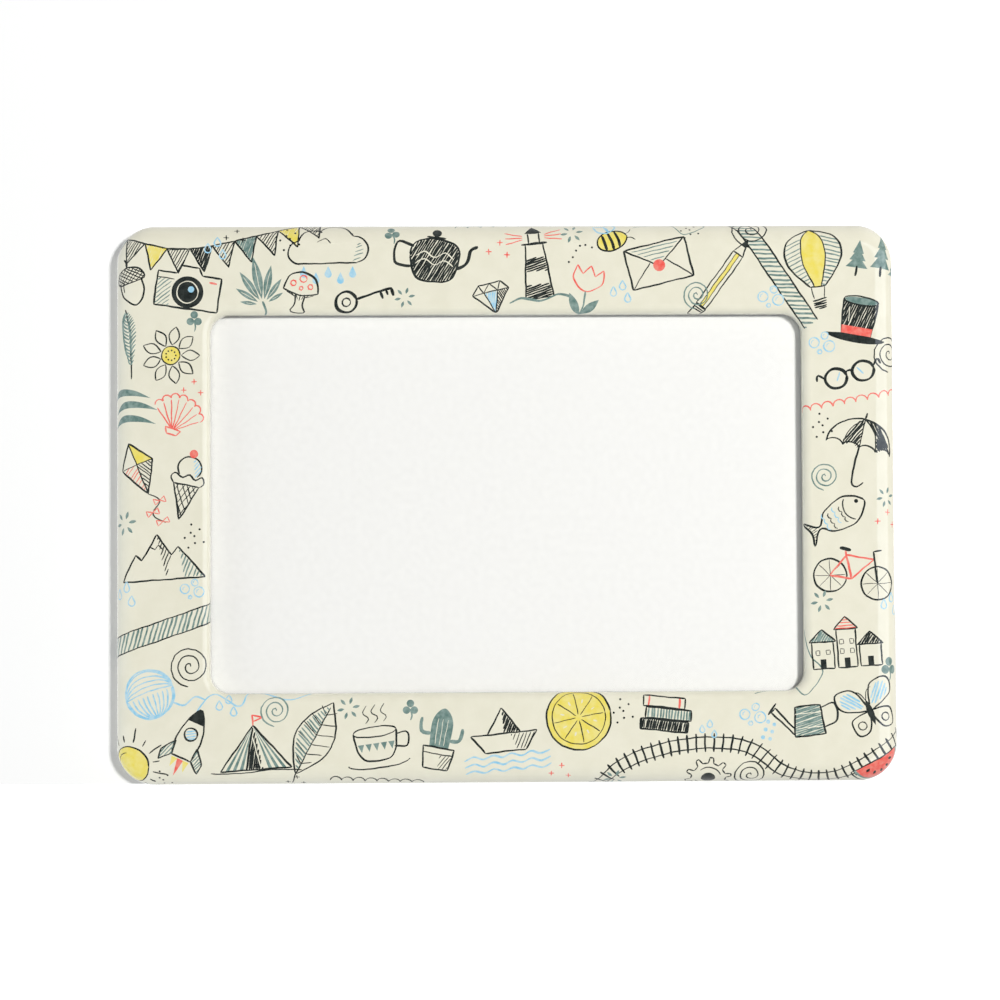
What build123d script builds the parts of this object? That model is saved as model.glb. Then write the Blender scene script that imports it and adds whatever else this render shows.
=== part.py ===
from build123d import *
import os

# Magnetic photo frame for one landscape print, standing upright.
# X runs to the right, Z up, the printed face looks along -Y.
# The magnets' contact plane is Y = 0 and its middle is the origin.
# Lengths are in millimetres; a depth is measured back from the printed face.

# Print and window
photo_width = 152.4
photo_height = 101.6
photo_thickness = 0.3
photo_overlap = 6.2
window_corner = 4.6
window_shoulder = 2.0
window_flange_depth = 3.8

# Front shell, drawn from printed tinplate
tin = 0.3
side_bar = 22.2
top_bar = 21.4
outer_corner = 9.0
outer_shoulder = 5.0
hem_bend = 0.8
hem_width = 2.6

# Clear sheet in the window
sheet_thickness = 0.4
sheet_margin = 2.6
sheet_corner = 2.0
ear_height = 10.0
ear_reach = 1.2

# Moulded back plate
floor_thickness = 1.45
plate_edge_radius = 0.6
wall_thickness = 1.2
lip_thickness = 1.2
lip_rise = 0.35
rib_thickness = 1.2
rib_spacing = 22.0
lead_in = 2.0
thumb_width = 22.0
thumb_reach = 12.0
thumb_bevel = 0.5

# Magnet strips and their tapes
magnet_length = 60.0
magnet_width = 12.7
magnet_thickness = 1.5
magnet_stand_proud = 0.5
tape_thickness = 0.15
magnet_from_thumb = 5.0
recess_corner = 1.0

# Clearances
plate_in_shell = 0.15
wall_past_shoulder = 0.3
photo_side = 0.4
photo_front = 0.2
photo_back = 0.25
sheet_side = 0.25
magnet_side = 0.3
slot_lip = 0.05
slot_end = 1.3
slot_corner = 1.0

# Outline sizes
window_width = photo_width - 2 * photo_overlap
window_height = photo_height - 2 * photo_overlap
outer_width = window_width + 2 * side_bar
outer_height = window_height + 2 * top_bar

# Depth stack from the printed face to the magnets' contact plane
sheet_front = window_flange_depth
sheet_back = sheet_front + sheet_thickness
photo_face = sheet_back + photo_front
floor_front = photo_face + photo_thickness + photo_back
floor_back = floor_front + floor_thickness
skirt_depth = floor_back + tin
total_depth = skirt_depth + magnet_stand_proud
magnet_front = total_depth - magnet_thickness
tape_front = magnet_front - tape_thickness

# Photo channel
channel_half = photo_width / 2 + photo_side
channel_bottom = -photo_height / 2
sheet_half_width = channel_half + sheet_margin - sheet_side
sheet_half_height = photo_height / 2 + sheet_margin - sheet_side
seat_half = channel_half + sheet_margin
seat_bottom = channel_bottom - sheet_margin
lip_half = seat_half + lip_thickness
lip_bottom = seat_bottom - lip_thickness
slot_half = channel_half + slot_end

# Standing wall of the back plate
wall_inset = outer_shoulder + wall_past_shoulder
wall_half_width = outer_width / 2 - wall_inset
wall_half_height = outer_height / 2 - wall_inset

# Magnet places
magnet_x = thumb_width / 2 + magnet_from_thumb + magnet_length / 2
magnet_z = (window_height / 2 + outer_height / 2 - hem_width) / 2


def slab(width, height, corner, front, back):
    """Rounded rectangle about the Y axis, filling the depths from front to back."""
    outline = RectangleRounded(width, height, corner)
    return extrude(Plane.XZ.offset(total_depth - back) * outline, amount=back - front)


def block(left, right, bottom, top, front, back):
    """Plain box between two X, two Z and two depths."""
    size = (right - left, back - front, top - bottom)
    middle = ((left + right) / 2, (front + back) / 2 - total_depth, (bottom + top) / 2)
    return Pos(*middle) * Box(*size)


def face_loops(solid, depth):
    """Edges of a ring's face at one depth: the outer loop, then the loop round the window."""
    at_depth = [e for e in solid.edges()
                if abs(e.bounding_box().min.Y - depth + total_depth) < 1e-4
                and abs(e.bounding_box().max.Y - depth + total_depth) < 1e-4]
    middle_x = (window_width + outer_width) / 4
    middle_z = (window_height + outer_height) / 4
    inner = [e for e in at_depth
             if abs(e.center().X) < middle_x and abs(e.center().Z) < middle_z]
    outer = [e for e in at_depth if e not in inner]
    return outer, inner


def front_shell():
    """Drawn tinplate: one sheet turned down round the outside and through the window, hemmed behind."""
    drawn = slab(outer_width, outer_height, outer_corner, 0, skirt_depth)
    drawn -= slab(window_width, window_height, window_corner, 0, skirt_depth)
    drawn = fillet(face_loops(drawn, 0)[0], outer_shoulder)
    drawn = fillet(face_loops(drawn, 0)[1], window_shoulder)
    drawn = fillet(face_loops(drawn, skirt_depth)[0], hem_bend)

    hollow = slab(outer_width - 2 * tin, outer_height - 2 * tin, outer_corner - tin,
                  tin, skirt_depth - tin)
    hollow -= slab(window_width + 2 * tin, window_height + 2 * tin, window_corner + tin,
                   tin, window_flange_depth)
    hollow = fillet(face_loops(hollow, tin)[0], outer_shoulder - tin)
    hollow = fillet(face_loops(hollow, tin)[1], window_shoulder - tin)
    hollow = fillet(face_loops(hollow, skirt_depth - tin)[0], hem_bend - tin)

    mouth = slab(outer_width - 2 * hem_width, outer_height - 2 * hem_width,
                 outer_corner - hem_width, skirt_depth - 2 * tin, skirt_depth + tin)

    slot_front = sheet_back - slot_lip
    slot_run = 2 * (total_depth - slot_front)
    slot = extrude(RectangleRounded(2 * slot_half, slot_run, slot_corner),
                   amount=outer_corner)
    slot = Pos(0, 0, outer_height / 2 - hem_width - 1) * slot
    return drawn - hollow - mouth - slot


def window_sheet():
    """Clear sheet with an ear at each side that keeps it from leaving with the photo."""
    sheet = slab(2 * sheet_half_width, 2 * sheet_half_height, sheet_corner, sheet_front, sheet_back)
    reach = sheet_half_width + ear_reach
    sheet += block(-reach, reach, -ear_height / 2, ear_height / 2, sheet_front, sheet_back)
    return sheet


def photo_card():
    """Blank print standing on the bottom stop of its channel."""
    half_width = photo_width / 2
    half_height = photo_height / 2
    return block(-half_width, half_width, -half_height, half_height,
                 photo_face, photo_face + photo_thickness)


def gusset(reach, tall, low):
    """Upright rib that falls from the standing wall's height to the lip's height."""
    side = Polyline((0, 0), (reach, 0), (reach, -tall), (0, -low), close=True)
    return extrude(Plane.XY * make_face(side), amount=rib_thickness / 2, both=True)


def rib_places(half_run):
    """Even places along a run, no further apart than the rib spacing."""
    gaps = int(2 * half_run / rib_spacing) + 1
    return [-half_run + 2 * half_run * n / gaps for n in range(1, gaps)]


def thumb_notch():
    """Round-ended notch through the floor, bevelled where a fingertip meets it."""
    round_middle = photo_height / 2 - thumb_reach + thumb_width / 2
    outline = Pos(0, round_middle) * Circle(thumb_width / 2)
    outline += Pos(0, round_middle + outer_height / 2) * Rectangle(thumb_width, outer_height)
    through = extrude(Plane.XZ * outline, amount=total_depth - floor_front + 1)
    bevel_plane = Plane.XZ.offset(total_depth - floor_back)
    bevel = extrude(bevel_plane * offset(outline, thumb_bevel), amount=thumb_bevel, taper=45)
    return through + bevel


def back_plate():
    """Moulded tray: floor, standing wall, photo channel, lips for the clear sheet, magnet recesses."""
    inset = tin + plate_in_shell
    floor = slab(outer_width - 2 * inset, outer_height - 2 * inset, outer_corner - inset,
                 floor_front, floor_back)
    floor = fillet(floor.faces().sort_by(Axis.Y)[-1].edges(), plate_edge_radius)

    wall = slab(2 * wall_half_width, 2 * wall_half_height, outer_corner - wall_inset, tin, floor_front)
    wall -= slab(2 * (wall_half_width - wall_thickness), 2 * (wall_half_height - wall_thickness),
                 outer_corner - wall_inset - wall_thickness, tin, floor_front)
    wall -= block(-lip_half, lip_half, 0, outer_height, tin, floor_front)

    floor_top = outer_height / 2 - hem_width
    seat = block(-seat_half, seat_half, seat_bottom, floor_top, sheet_back, floor_front)
    channel = block(-channel_half, channel_half, channel_bottom, outer_height, sheet_back, floor_front)
    seat -= channel
    lead_edges = [e for e in seat.edges().filter_by(Axis.Y)
                  if abs(e.center().Z - floor_top) < 1e-4
                  and abs(abs(e.center().X) - channel_half) < 1e-4]
    seat = chamfer(lead_edges, lead_in)

    lip_top = sheet_half_height
    lip = block(-lip_half, lip_half, lip_bottom, lip_top, sheet_back - lip_rise, floor_front)
    lip -= block(-seat_half, seat_half, seat_bottom, outer_height, sheet_back - lip_rise, floor_front)
    ear_gap = ear_height / 2 + sheet_side
    lip -= block(-lip_half, lip_half, -ear_gap, ear_gap, sheet_back - lip_rise, sheet_back)

    plate = floor + wall + seat + lip
    low = lip_rise + floor_front - sheet_back
    tall = floor_front - tin
    side_reach = wall_half_width - lip_half
    for z in rib_places(lip_top - ear_gap):
        rib = Pos(lip_half, floor_front - total_depth, z) * gusset(side_reach, tall, low)
        plate += [rib, mirror(rib, Plane.YZ)]
    bottom_reach = wall_half_height + lip_bottom
    for x in rib_places(lip_half):
        rib = Rot(0, 90, 0) * gusset(bottom_reach, tall, low)
        plate += Pos(x, floor_front - total_depth, lip_bottom) * rib

    plate -= thumb_notch()

    for place in magnet_places():
        recess = slab(magnet_length + 2 * magnet_side, magnet_width + 2 * magnet_side,
                      recess_corner, tape_front, floor_back)
        plate -= Pos(place.X, 0, place.Z) * recess
    return plate


def magnet_places():
    """Middles of the four strips, two over the photo and two under it."""
    return [Vector(side * magnet_x, 0, end * magnet_z) for end in (1, -1) for side in (-1, 1)]


def strip(place, front, back):
    """One cut length of magnet strip or tape."""
    half_length = magnet_length / 2
    half_width = magnet_width / 2
    return block(place.X - half_length, place.X + half_length,
                 place.Z - half_width, place.Z + half_width, front, back)


pieces = {
    "front_shell": front_shell(),
    "window_sheet": window_sheet(),
    "photo_card": photo_card(),
    "back_plate": back_plate(),
}
corners = ("top_left", "top_right", "bottom_left", "bottom_right")
for corner, place in zip(corners, magnet_places()):
    pieces[f"magnet_{corner}"] = strip(place, magnet_front, total_depth)
    pieces[f"tape_{corner}"] = strip(place, tape_front, magnet_front)

os.makedirs("parts", exist_ok=True)
for name, piece in pieces.items():
    export_step(piece, f"parts/{name}.step")
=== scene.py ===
import random
from math import acos, atan2, copysign, cos, degrees, dist, hypot, pi, radians, sin, sqrt

import bpy
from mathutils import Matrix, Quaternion, Vector
from mathutils.geometry import delaunay_2d_cdt


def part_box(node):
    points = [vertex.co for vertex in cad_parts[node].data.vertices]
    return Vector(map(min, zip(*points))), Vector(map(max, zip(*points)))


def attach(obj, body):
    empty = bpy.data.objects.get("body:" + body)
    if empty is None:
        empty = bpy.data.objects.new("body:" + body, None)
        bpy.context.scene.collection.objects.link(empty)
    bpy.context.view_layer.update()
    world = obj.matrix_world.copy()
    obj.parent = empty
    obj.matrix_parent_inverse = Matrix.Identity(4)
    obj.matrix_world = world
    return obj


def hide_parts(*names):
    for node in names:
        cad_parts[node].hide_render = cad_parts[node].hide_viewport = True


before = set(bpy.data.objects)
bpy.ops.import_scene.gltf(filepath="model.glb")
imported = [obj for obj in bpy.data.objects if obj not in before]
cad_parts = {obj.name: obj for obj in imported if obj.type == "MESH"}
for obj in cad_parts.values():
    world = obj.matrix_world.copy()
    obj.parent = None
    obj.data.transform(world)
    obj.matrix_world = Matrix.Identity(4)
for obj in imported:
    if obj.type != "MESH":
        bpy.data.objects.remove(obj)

# Magnetic photo frame, upright: X to the right, Z up, the printed face looks along -Y.
# The print is laid out flat in millimetres and then pressed over the shell's shoulders.
MM = 0.001
random.seed(11)
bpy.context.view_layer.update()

# Sizes of the pressed shell, in millimetres
TIN = 0.3
OUTER_CORNER = 9.0
OUTER_SHOULDER = 5.0
WINDOW_HALF = (70.0, 44.6)
WINDOW_CORNER = 4.6
WINDOW_SHOULDER = 2.0
WINDOW_FLANGE = 3.8
HEM_BEND = 0.8
HEM_WIDTH = 2.6
SLOT_HALF = 77.9
SLOT_DEPTH = 4.15
SLOT_CORNER = 1.0

shell_low, shell_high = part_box("front_shell")
OUTER_HALF = (shell_high.x / MM, shell_high.z / MM)
FRONT = shell_low.y / MM
SKIRT = (shell_high.y - shell_low.y) / MM

# Where the flat face ends and the shoulders begin
FACE_HALF = (OUTER_HALF[0] - OUTER_SHOULDER, OUTER_HALF[1] - OUTER_SHOULDER)
FACE_CORNER = OUTER_CORNER - OUTER_SHOULDER
EYE_HALF = (WINDOW_HALF[0] + WINDOW_SHOULDER, WINDOW_HALF[1] + WINDOW_SHOULDER)
EYE_CORNER = WINDOW_CORNER + WINDOW_SHOULDER

# What the sheet does from there to its edges: length and bend radius of each part, no radius where straight
OUTER_ARC = OUTER_SHOULDER * pi / 2
OUTER_WALL = SKIRT - HEM_BEND - OUTER_SHOULDER
HEM_ARC = HEM_BEND * pi / 2
WINDOW_ARC = WINDOW_SHOULDER * pi / 2
OUTWARD = ((OUTER_ARC, OUTER_SHOULDER), (OUTER_WALL, None), (HEM_ARC, HEM_BEND), (HEM_WIDTH - HEM_BEND, None))
INWARD = ((WINDOW_ARC, WINDOW_SHOULDER), (WINDOW_FLANGE - WINDOW_SHOULDER, None))
OUTER_RUN = sum(length for length, _ in OUTWARD)
WINDOW_RUN = sum(length for length, _ in INWARD)
SLOT_RUN = OUTER_SHOULDER * acos(1 - SLOT_DEPTH / OUTER_SHOULDER)
PRINT_RUN = OUTER_ARC + OUTER_WALL


# Pressing the flat sheet into the shell
def from_outline(u, v, half, corner):
    """Distance of a point outside a rounded rectangle, and the direction that leads away from it."""
    x = abs(u) - half[0] + corner
    z = abs(v) - half[1] + corner
    if x > 0 and z > 0:
        reach = hypot(x, z)
        away = (x / reach, z / reach)
    else:
        reach = max(x, z)
        away = (1, 0) if x > z else (0, 1)
    return reach - corner, (copysign(away[0], u), copysign(away[1], v))


def follow(parts, run):
    """Sideways step, depth and tilt after a run along parts that begin on the flat face."""
    step = depth = tilt = 0
    for length, radius in parts:
        done = min(run, length)
        run -= done
        if radius:
            before = tilt
            tilt += done / radius
            step += radius * (sin(tilt) - sin(before))
            depth += radius * (cos(before) - cos(tilt))
        else:
            step += done * cos(tilt)
            depth += done * sin(tilt)
    return step, depth, tilt


def press(u, v):
    """Place and normal on the pressed shell of a point of the flat sheet, in millimetres."""
    run, away = from_outline(u, v, FACE_HALF, FACE_CORNER)
    parts = OUTWARD
    if run <= 0:
        distance, away = from_outline(u, v, EYE_HALF, EYE_CORNER)
        run = max(-distance, 0)
        away = (-away[0], -away[1])
        parts = INWARD
    step, depth, tilt = follow(parts, run)
    shift = step - run
    lean = sin(tilt)
    place = Vector((u + away[0] * shift, FRONT + depth, v + away[1] * shift))
    return place, Vector((away[0] * lean, -cos(tilt), away[1] * lean))


# Hand-drawn lines and fills on the flat sheet, in millimetres and radians, OVAL_STEP in degrees.
# WAVER and PRESSURE pair a reach with its pace along a stroke, NIB a share of the width with its gain.
# A stroke is laid down in pieces that end after PIECE_STEPS or when it has turned by PIECE_TURN.
NIB_ANGLE = radians(35)
STROKE_STEP = 0.6
STROKE_END = 0.55
WAVER = ((0.05, 0.5), (0.03, 1.3))
NIB = (0.66, 0.40)
PRESSURE = (0.12, 0.35)
SHARP_TURN = 0.8
PIECE_TURN = 2.6
PIECE_STEPS = 20
LINE = 0.38
HATCH_LINE = 0.26
SHADE_LINE = 0.52
SHADE_GAP = 0.5
SHORTEST_HATCH = 0.25
HATCH_SHIFT = (0.35, 0.65)
SAME_PLACE = 1e-6
NO_AREA = 1e-4
OVAL_STEP = 12
FEWEST_STEPS = 8

# Inks: colour, paler tone where the ink lies thin, and how fine the mottling between them is
INKS = {
    "cream": ((231, 229, 212), (235, 233, 217), 240),
    "black": ((24, 32, 31), (52, 58, 56), 900),
    "teal": ((98, 128, 124), (140, 163, 158), 900),
    "blue": ((140, 203, 236), (188, 220, 236), 900),
    "coral": ((240, 92, 84), (240, 140, 128), 900),
    "yellow": ((236, 220, 98), (238, 226, 140), 600),
}
prints = []


def box(left, low, right, high):
    return [(left, low), (right, low), (right, high), (left, high)]


def sided(side, points):
    return [(x * side, y) for x, y in points]


def mirrored(points):
    """The same points on the other side, in reverse."""
    return sided(-1, points[::-1])


def whole(half, *middle):
    """A line that is alike on both sides of its middle points."""
    return [*half, *middle, *mirrored(half)]


def taper(first, first_half, second, second_half):
    """Band between two heights, given with its half widths there."""
    return [(-first_half, first), (first_half, first), (second_half, second), (-second_half, second)]


def oval(x, y, wide, tall=None, start=0, end=360):
    """Points round an ellipse or a part of one."""
    tall = wide if tall is None else tall
    count = max(FEWEST_STEPS, int(abs(end - start) / OVAL_STEP))
    angles = [radians(start + (end - start) * n / count) for n in range(count + 1)]
    return [(x + wide * cos(a), y + tall * sin(a)) for a in angles]


def arc(x, y, radius, start, end):
    return oval(x, y, radius, radius, start, end)


def spoke(angle, reach, x=0, y=0):
    """Point at an angle in degrees and a reach from a middle."""
    return (x + reach * cos(radians(angle)), y + reach * sin(radians(angle)))


def spline(points, closed=False, steps=8):
    """Smooth line through a few points."""
    if closed:
        ring = [points[-1], *points, points[0], points[1]]
    else:
        ring = [points[0], *points, points[-1]]
    line = []
    for a, b, c, d in zip(ring, ring[1:], ring[2:], ring[3:]):
        for n in range(steps):
            t = n / steps
            line.append(tuple(0.5 * (2 * q + (r - p) * t + (2 * p - 5 * q + 4 * r - s) * t * t
                                     + (3 * q - p - 3 * r + s) * t ** 3)
                              for p, q, r, s in zip(a, b, c, d)))
    return line + [line[0] if closed else points[-1]]


def blade(base, tip, fat):
    """Outline of a leaf or petal between two points."""
    along = (tip[0] - base[0], tip[1] - base[1])
    places = [n / 8 for n in range(9)] + [1 - n / 8 for n in range(1, 9)]
    sides = [fat] * 9 + [-fat] * 8
    return [(base[0] + along[0] * t - along[1] * side * sin(pi * t),
             base[1] + along[1] * t + along[0] * side * sin(pi * t))
            for t, side in zip(places, sides)]


def even_steps(line, step):
    """The same line with points at even steps."""
    lengths = [0]
    for a, b in zip(line, line[1:]):
        lengths.append(lengths[-1] + dist(a, b))
    count = max(2, round(lengths[-1] / step))
    out = []
    k = 0
    for n in range(count + 1):
        goal = lengths[-1] * n / count
        while k < len(line) - 2 and lengths[k + 1] < goal:
            k += 1
        span = max(lengths[k + 1] - lengths[k], SAME_PLACE)
        t = min(1, (goal - lengths[k]) / span)
        out.append(tuple(p + (q - p) * t for p, q in zip(line[k], line[k + 1])))
    return out


def turn_at(a, b, c):
    """Change of heading at b, in radians."""
    before = atan2(b[1] - a[1], b[0] - a[0])
    after = atan2(c[1] - b[1], c[0] - b[0])
    return abs((after - before + pi) % (2 * pi) - pi)


def smooth_runs(line):
    """The line cut at its sharp corners."""
    line = [p for n, p in enumerate(line) if n == 0 or dist(p, line[n - 1]) > SAME_PLACE]
    runs = [[line[0]]]
    for n in range(1, len(line)):
        runs[-1].append(line[n])
        if n + 1 < len(line) and turn_at(line[n - 1], line[n], line[n + 1]) > SHARP_TURN:
            runs.append([line[n]])
    return runs


def add_polygon(points, ink):
    area = sum(a[0] * b[1] - b[0] * a[1] for a, b in zip(points, points[1:] + points[:1]))
    if abs(area) > NO_AREA:
        prints.append((ink, points if area > 0 else points[::-1]))


def ribbon(line, width, ink):
    """One pen stroke: it wavers a little, is broader in one direction and thins out at both ends."""
    line = even_steps(line, STROKE_STEP)
    phase = [random.uniform(0, 6.3) for _ in range(3)]
    last = len(line) - 1
    left = []
    right = []
    for n, (x, y) in enumerate(line):
        a = line[max(0, n - 1)]
        b = line[min(last, n + 1)]
        heading = atan2(b[1] - a[1], b[0] - a[0])
        side = (-sin(heading), cos(heading))
        waver = sum(reach * sin(pace * n + start) for (reach, pace), start in zip(WAVER, phase))
        press_on = PRESSURE[0] * sin(PRESSURE[1] * n + phase[2])
        nib = NIB[0] + NIB[1] * abs(sin(heading - NIB_ANGLE)) + press_on
        lift = STROKE_END if n in (0, last) else 1
        half = width / 2 * nib * lift
        for edge, reach in ((left, waver + half), (right, waver - half)):
            edge.append((x + side[0] * reach, y + side[1] * reach))
    start = 0
    turned = 0
    for n in range(1, last + 1):
        if n < last:
            turned += turn_at(line[n - 1], line[n], line[n + 1])
        if n == last or turned > PIECE_TURN or n - start >= PIECE_STEPS:
            add_polygon(right[start:n + 1] + left[start:n + 1][::-1], ink)
            start = n
            turned = 0


class Pen:
    """Draws one doodle at its place on the sheet."""

    def __init__(self, x, z, size=1.0, turn=0.0):
        self.place = (x, z)
        self.size = size
        self.turn = radians(turn)

    def at(self, point):
        x = point[0] * self.size
        y = point[1] * self.size
        c = cos(self.turn)
        s = sin(self.turn)
        return (self.place[0] + x * c - y * s, self.place[1] + x * s + y * c)

    def line(self, points, width=LINE, ink="black"):
        for run in smooth_runs([self.at(p) for p in points]):
            ribbon(run, width, ink)

    def loop(self, points, width=LINE, ink="black"):
        self.line([*points, points[0]], width, ink)

    def curve(self, points, width=LINE, ink="black", closed=False):
        self.line(spline(points, closed), width, ink)

    def fill(self, points, ink="black"):
        points = [self.at(p) for p in points]
        if dist(points[0], points[-1]) < SAME_PLACE:
            points = points[:-1]
        add_polygon(points, ink)

    def dot(self, x, y, radius, ink="black"):
        self.fill(oval(x, y, radius)[::2], ink)

    def ring(self, x, y, radius, width=LINE, ink="black"):
        self.line(oval(x, y, radius), width, ink)

    def hatch(self, points, angle, gap, width=HATCH_LINE, ink="black"):
        """Parallel pen strokes inside an outline."""
        c = cos(radians(angle))
        s = sin(radians(angle))
        turned = [(x * c + y * s, y * c - x * s) for x, y in points]
        low = min(p[1] for p in turned)
        high = max(p[1] for p in turned)
        for n in range(1, int((high - low) / gap) + 1):
            level = low + gap * n - gap * random.uniform(*HATCH_SHIFT)
            hits = []
            for (x0, y0), (x1, y1) in zip(turned, turned[1:] + turned[:1]):
                if (y0 > level) != (y1 > level):
                    hits.append(x0 + (x1 - x0) * (level - y0) / (y1 - y0))
            hits.sort()
            for a, b in zip(hits[::2], hits[1::2]):
                if b - a > SHORTEST_HATCH:
                    stroke = [(x * c - level * s, x * s + level * c) for x in (a, (a + b) / 2, b)]
                    self.line(stroke, width, ink)

    def shade(self, points, angle=40, ink="black"):
        """Fills an outline with close strokes that leave slits of the ground between them."""
        self.hatch(points, angle, SHADE_GAP / self.size, SHADE_LINE, ink)


# Doodles, each drawn about its own middle in millimetres
def fern(pen):
    for n in range(7):
        angle = 20 + 140 * n / 6
        reach = 8 - 0.06 * abs(angle - 90)
        pen.fill(blade(spoke(angle, 1, 0, -4), spoke(angle, reach, 0, -4), 0.11), "teal")
        pen.line([spoke(angle, 1.8, 0, -4), spoke(angle, reach - 1, 0, -4)], 0.14, "cream")
    pen.curve([(0, -3.4), (0.2, -5), (-0.3, -6.4)], 0.5, "teal")


def brush_waves(pen):
    for n in range(3):
        y = 2.6 - 2.6 * n
        x = 0.9 * (n % 2)
        top = spline([(x - 5, y), (x - 2, y + 1.9), (x + 1.4, y + 1.2), (x + 4.4, y - 1)])
        low = spline([(x + 4.4, y - 1), (x + 1.2, y + 0.1), (x - 2, y + 0.6), (x - 5, y)])
        pen.fill(top + low[1:], "teal")


def big_leaf(pen):
    pen.line(blade((-7, 0), (7, 0), 0.24), 0.42)
    pen.line([(-9.5, -0.6), (-7, 0), (6, 0)], 0.36)
    for n in range(6):
        x = -5 + 1.9 * n
        reach = 3.1 * sin(pi * (n + 1.2) / 7.4)
        for y in (reach, -reach):
            pen.line([(x, 0), (x + 1.1, y)], 0.26)
    pen.hatch(blade((-6.6, 0), (6.6, 0), 0.22)[:9] + [(-6.6, 0)], 68, 0.62, 0.34, "teal")


def daisy(pen):
    pen.fill(oval(0, 0, 1.5), "yellow")
    pen.ring(0, 0, 1.5, 0.32)
    for n in range(9):
        angle = 40 * n
        pen.line(blade(spoke(angle, 1.7), spoke(angle, 4.7), 0.28), 0.34)
        pen.dot(*spoke(angle, 0.8), 0.14)


def tulip(pen):
    pen.line(whole([(-2.6, 3.4), (-1.3, 1.9)], (0, 3.8)), ink="coral")
    pen.curve(whole([(2.6, 3.4), (2.9, 0.6)], (0, -1.4)), ink="coral")
    pen.curve([(0, -1.4), (0.3, -4), (-0.2, -7)], 0.44, "teal")
    for side in (1, -1):
        pen.fill(blade((0, -6.6), (side * 3, -2.4), 0.16), "teal")


def sun(pen):
    pen.fill(oval(0, 0, 3.2), "yellow")
    pen.ring(0, 0, 3.2)
    pen.line(arc(0, 0, 2.3, 100, 190), 0.26)
    for n in range(16):
        angle = 360 * (n + 0.5) / 16
        pen.line([spoke(angle, 3.9), spoke(angle, 5 + 1.2 * (n % 2))], 0.42)


def cloud(pen):
    edge = arc(3.9, 0.3, 2, -80, 95) + arc(1, 2.1, 2.4, 20, 150)
    edge += arc(-2.2, 1.4, 2, 50, 175) + arc(-4.2, -0.2, 1.7, 100, 275)
    pen.loop(edge, 0.42)
    pen.curve([(-1.6, 1.3), (-0.4, 1.9), (0.4, 1.2)], 0.26)
    pen.hatch(arc(3.6, 0.1, 1.6, -90, 60), 20, 0.5, 0.3, "teal")
    for n in range(5):
        x = -3.6 + 1.8 * n
        y = -3.4 - 0.9 * (n % 2)
        pen.fill([(x, y + 1.2), *arc(x, y, 0.52, 150, 390)], "blue")


def kite(pen):
    top, right, foot, left = (0, 5), (3, 1), (0, -4.4), (-3, 1)
    pen.fill([top, right, (0, 1)], "yellow")
    pen.hatch([left, (0, 1), foot], 35, 0.62, ink="coral")
    pen.hatch([right, (0, 1), foot], 120, 0.5)
    pen.loop([top, right, foot, left], 0.42)
    for rod in ([top, foot], [right, left]):
        pen.line(rod, 0.3)
    tail = spline([(0, -4.4), (1.4, -6.2), (-0.6, -8), (0.9, -10.2)])
    pen.line(tail, 0.3)
    for x, y in tail[8::7]:
        bow = [(x, y), (x - 1, y + 0.6), (x - 1, y - 0.5), (x + 1, y + 0.5), (x + 1, y - 0.6)]
        pen.loop(bow, 0.3, "coral")


def paper_boat(pen):
    pen.loop(taper(0.6, 5.2, -2.2, 3.2), 0.44)
    pen.line([(-2.6, 0.6), (0, 4.6), (2.6, 0.6)], 0.44)
    pen.shade([(0, 4.4), (2.5, 0.7), (0, 0.7)], 62)
    pen.hatch([(1, 0.4), (5, 0.4), (3.1, -2), (1.8, -2)], 62, 0.5)
    for row in range(3):
        pen.curve([(-6.6 + 1.5 * n, -3.1 - 1.1 * row + 0.5 * (n % 2)) for n in range(10)], 0.5, "blue")


def mushroom(pen):
    pen.curve(whole([(-3.8, 0), (-2.8, 3)], (0, 4.2)), 0.5)
    pen.curve([(-3.8, 0), (0, -0.8), (3.8, 0)])
    for n in range(-3, 4):
        pen.line([(n * 0.35, -2.0 + 0.25 * abs(n)), (n * 0.98, -0.6 + 0.05 * abs(n))], 0.22)
    pen.curve(whole([(-1, -0.7), (-0.9, -3), (-1.5, -4.6)]))
    for x, y, radius in ((-1.8, 1.6, 0.6), (0.2, 2.8, 0.75), (1.9, 1.3, 0.55), (0, 0.7, 0.45)):
        pen.ring(x, y, radius, 0.36, "coral")


def cactus(pen):
    pen.fill(spline(whole([(-1.5, -1.6), (-1.6, 2.6)], (0, 4.6))), "teal")
    pen.curve([(-1.5, 0.4), (-3.1, 0.6), (-3.3, 2.7)], 0.9, "teal")
    pen.curve([(1.5, -0.4), (3, 0), (3.2, 1.9)], 0.9, "teal")
    for x in (-0.7, 0, 0.7):
        pen.line([(x, -1.2), (x * 1.1, 2.9)], 0.16, "cream")
    pen.loop(taper(-1.6, 2.5, -5, 1.9), 0.44)
    pen.line([(-2.35, -2.6), (2.35, -2.6)], 0.3)
    pen.hatch([(0.4, -2.7), (2.2, -2.7), (1.8, -4.9), (0.2, -4.9)], 60, 0.45)


def teacup(pen):
    pen.curve(whole([(-3.4, 2), (-3, -0.8), (-1.6, -2.4)]), 0.46)
    pen.line(oval(0, 2, 3.4, 0.8), 0.36)
    pen.curve([(3.2, 1.2), (5, 1.3), (4.8, -0.8), (2.8, -0.6)], 0.46)
    pen.line(oval(0, -2.9, 4.8, 0.8, 175, 365), 0.4)
    for n in range(5):
        x = -2.4 + 1.2 * n
        pen.fill([(x - 0.5, 0.2), (x + 0.5, 0.2), (x, -1)], "teal")
    for x in (-1.2, 0.2, 1.6):
        pen.curve([(x, 3.4), (x + 0.6, 4.2), (x - 0.3, 5.1), (x + 0.5, 6.2)], 0.26)


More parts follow.
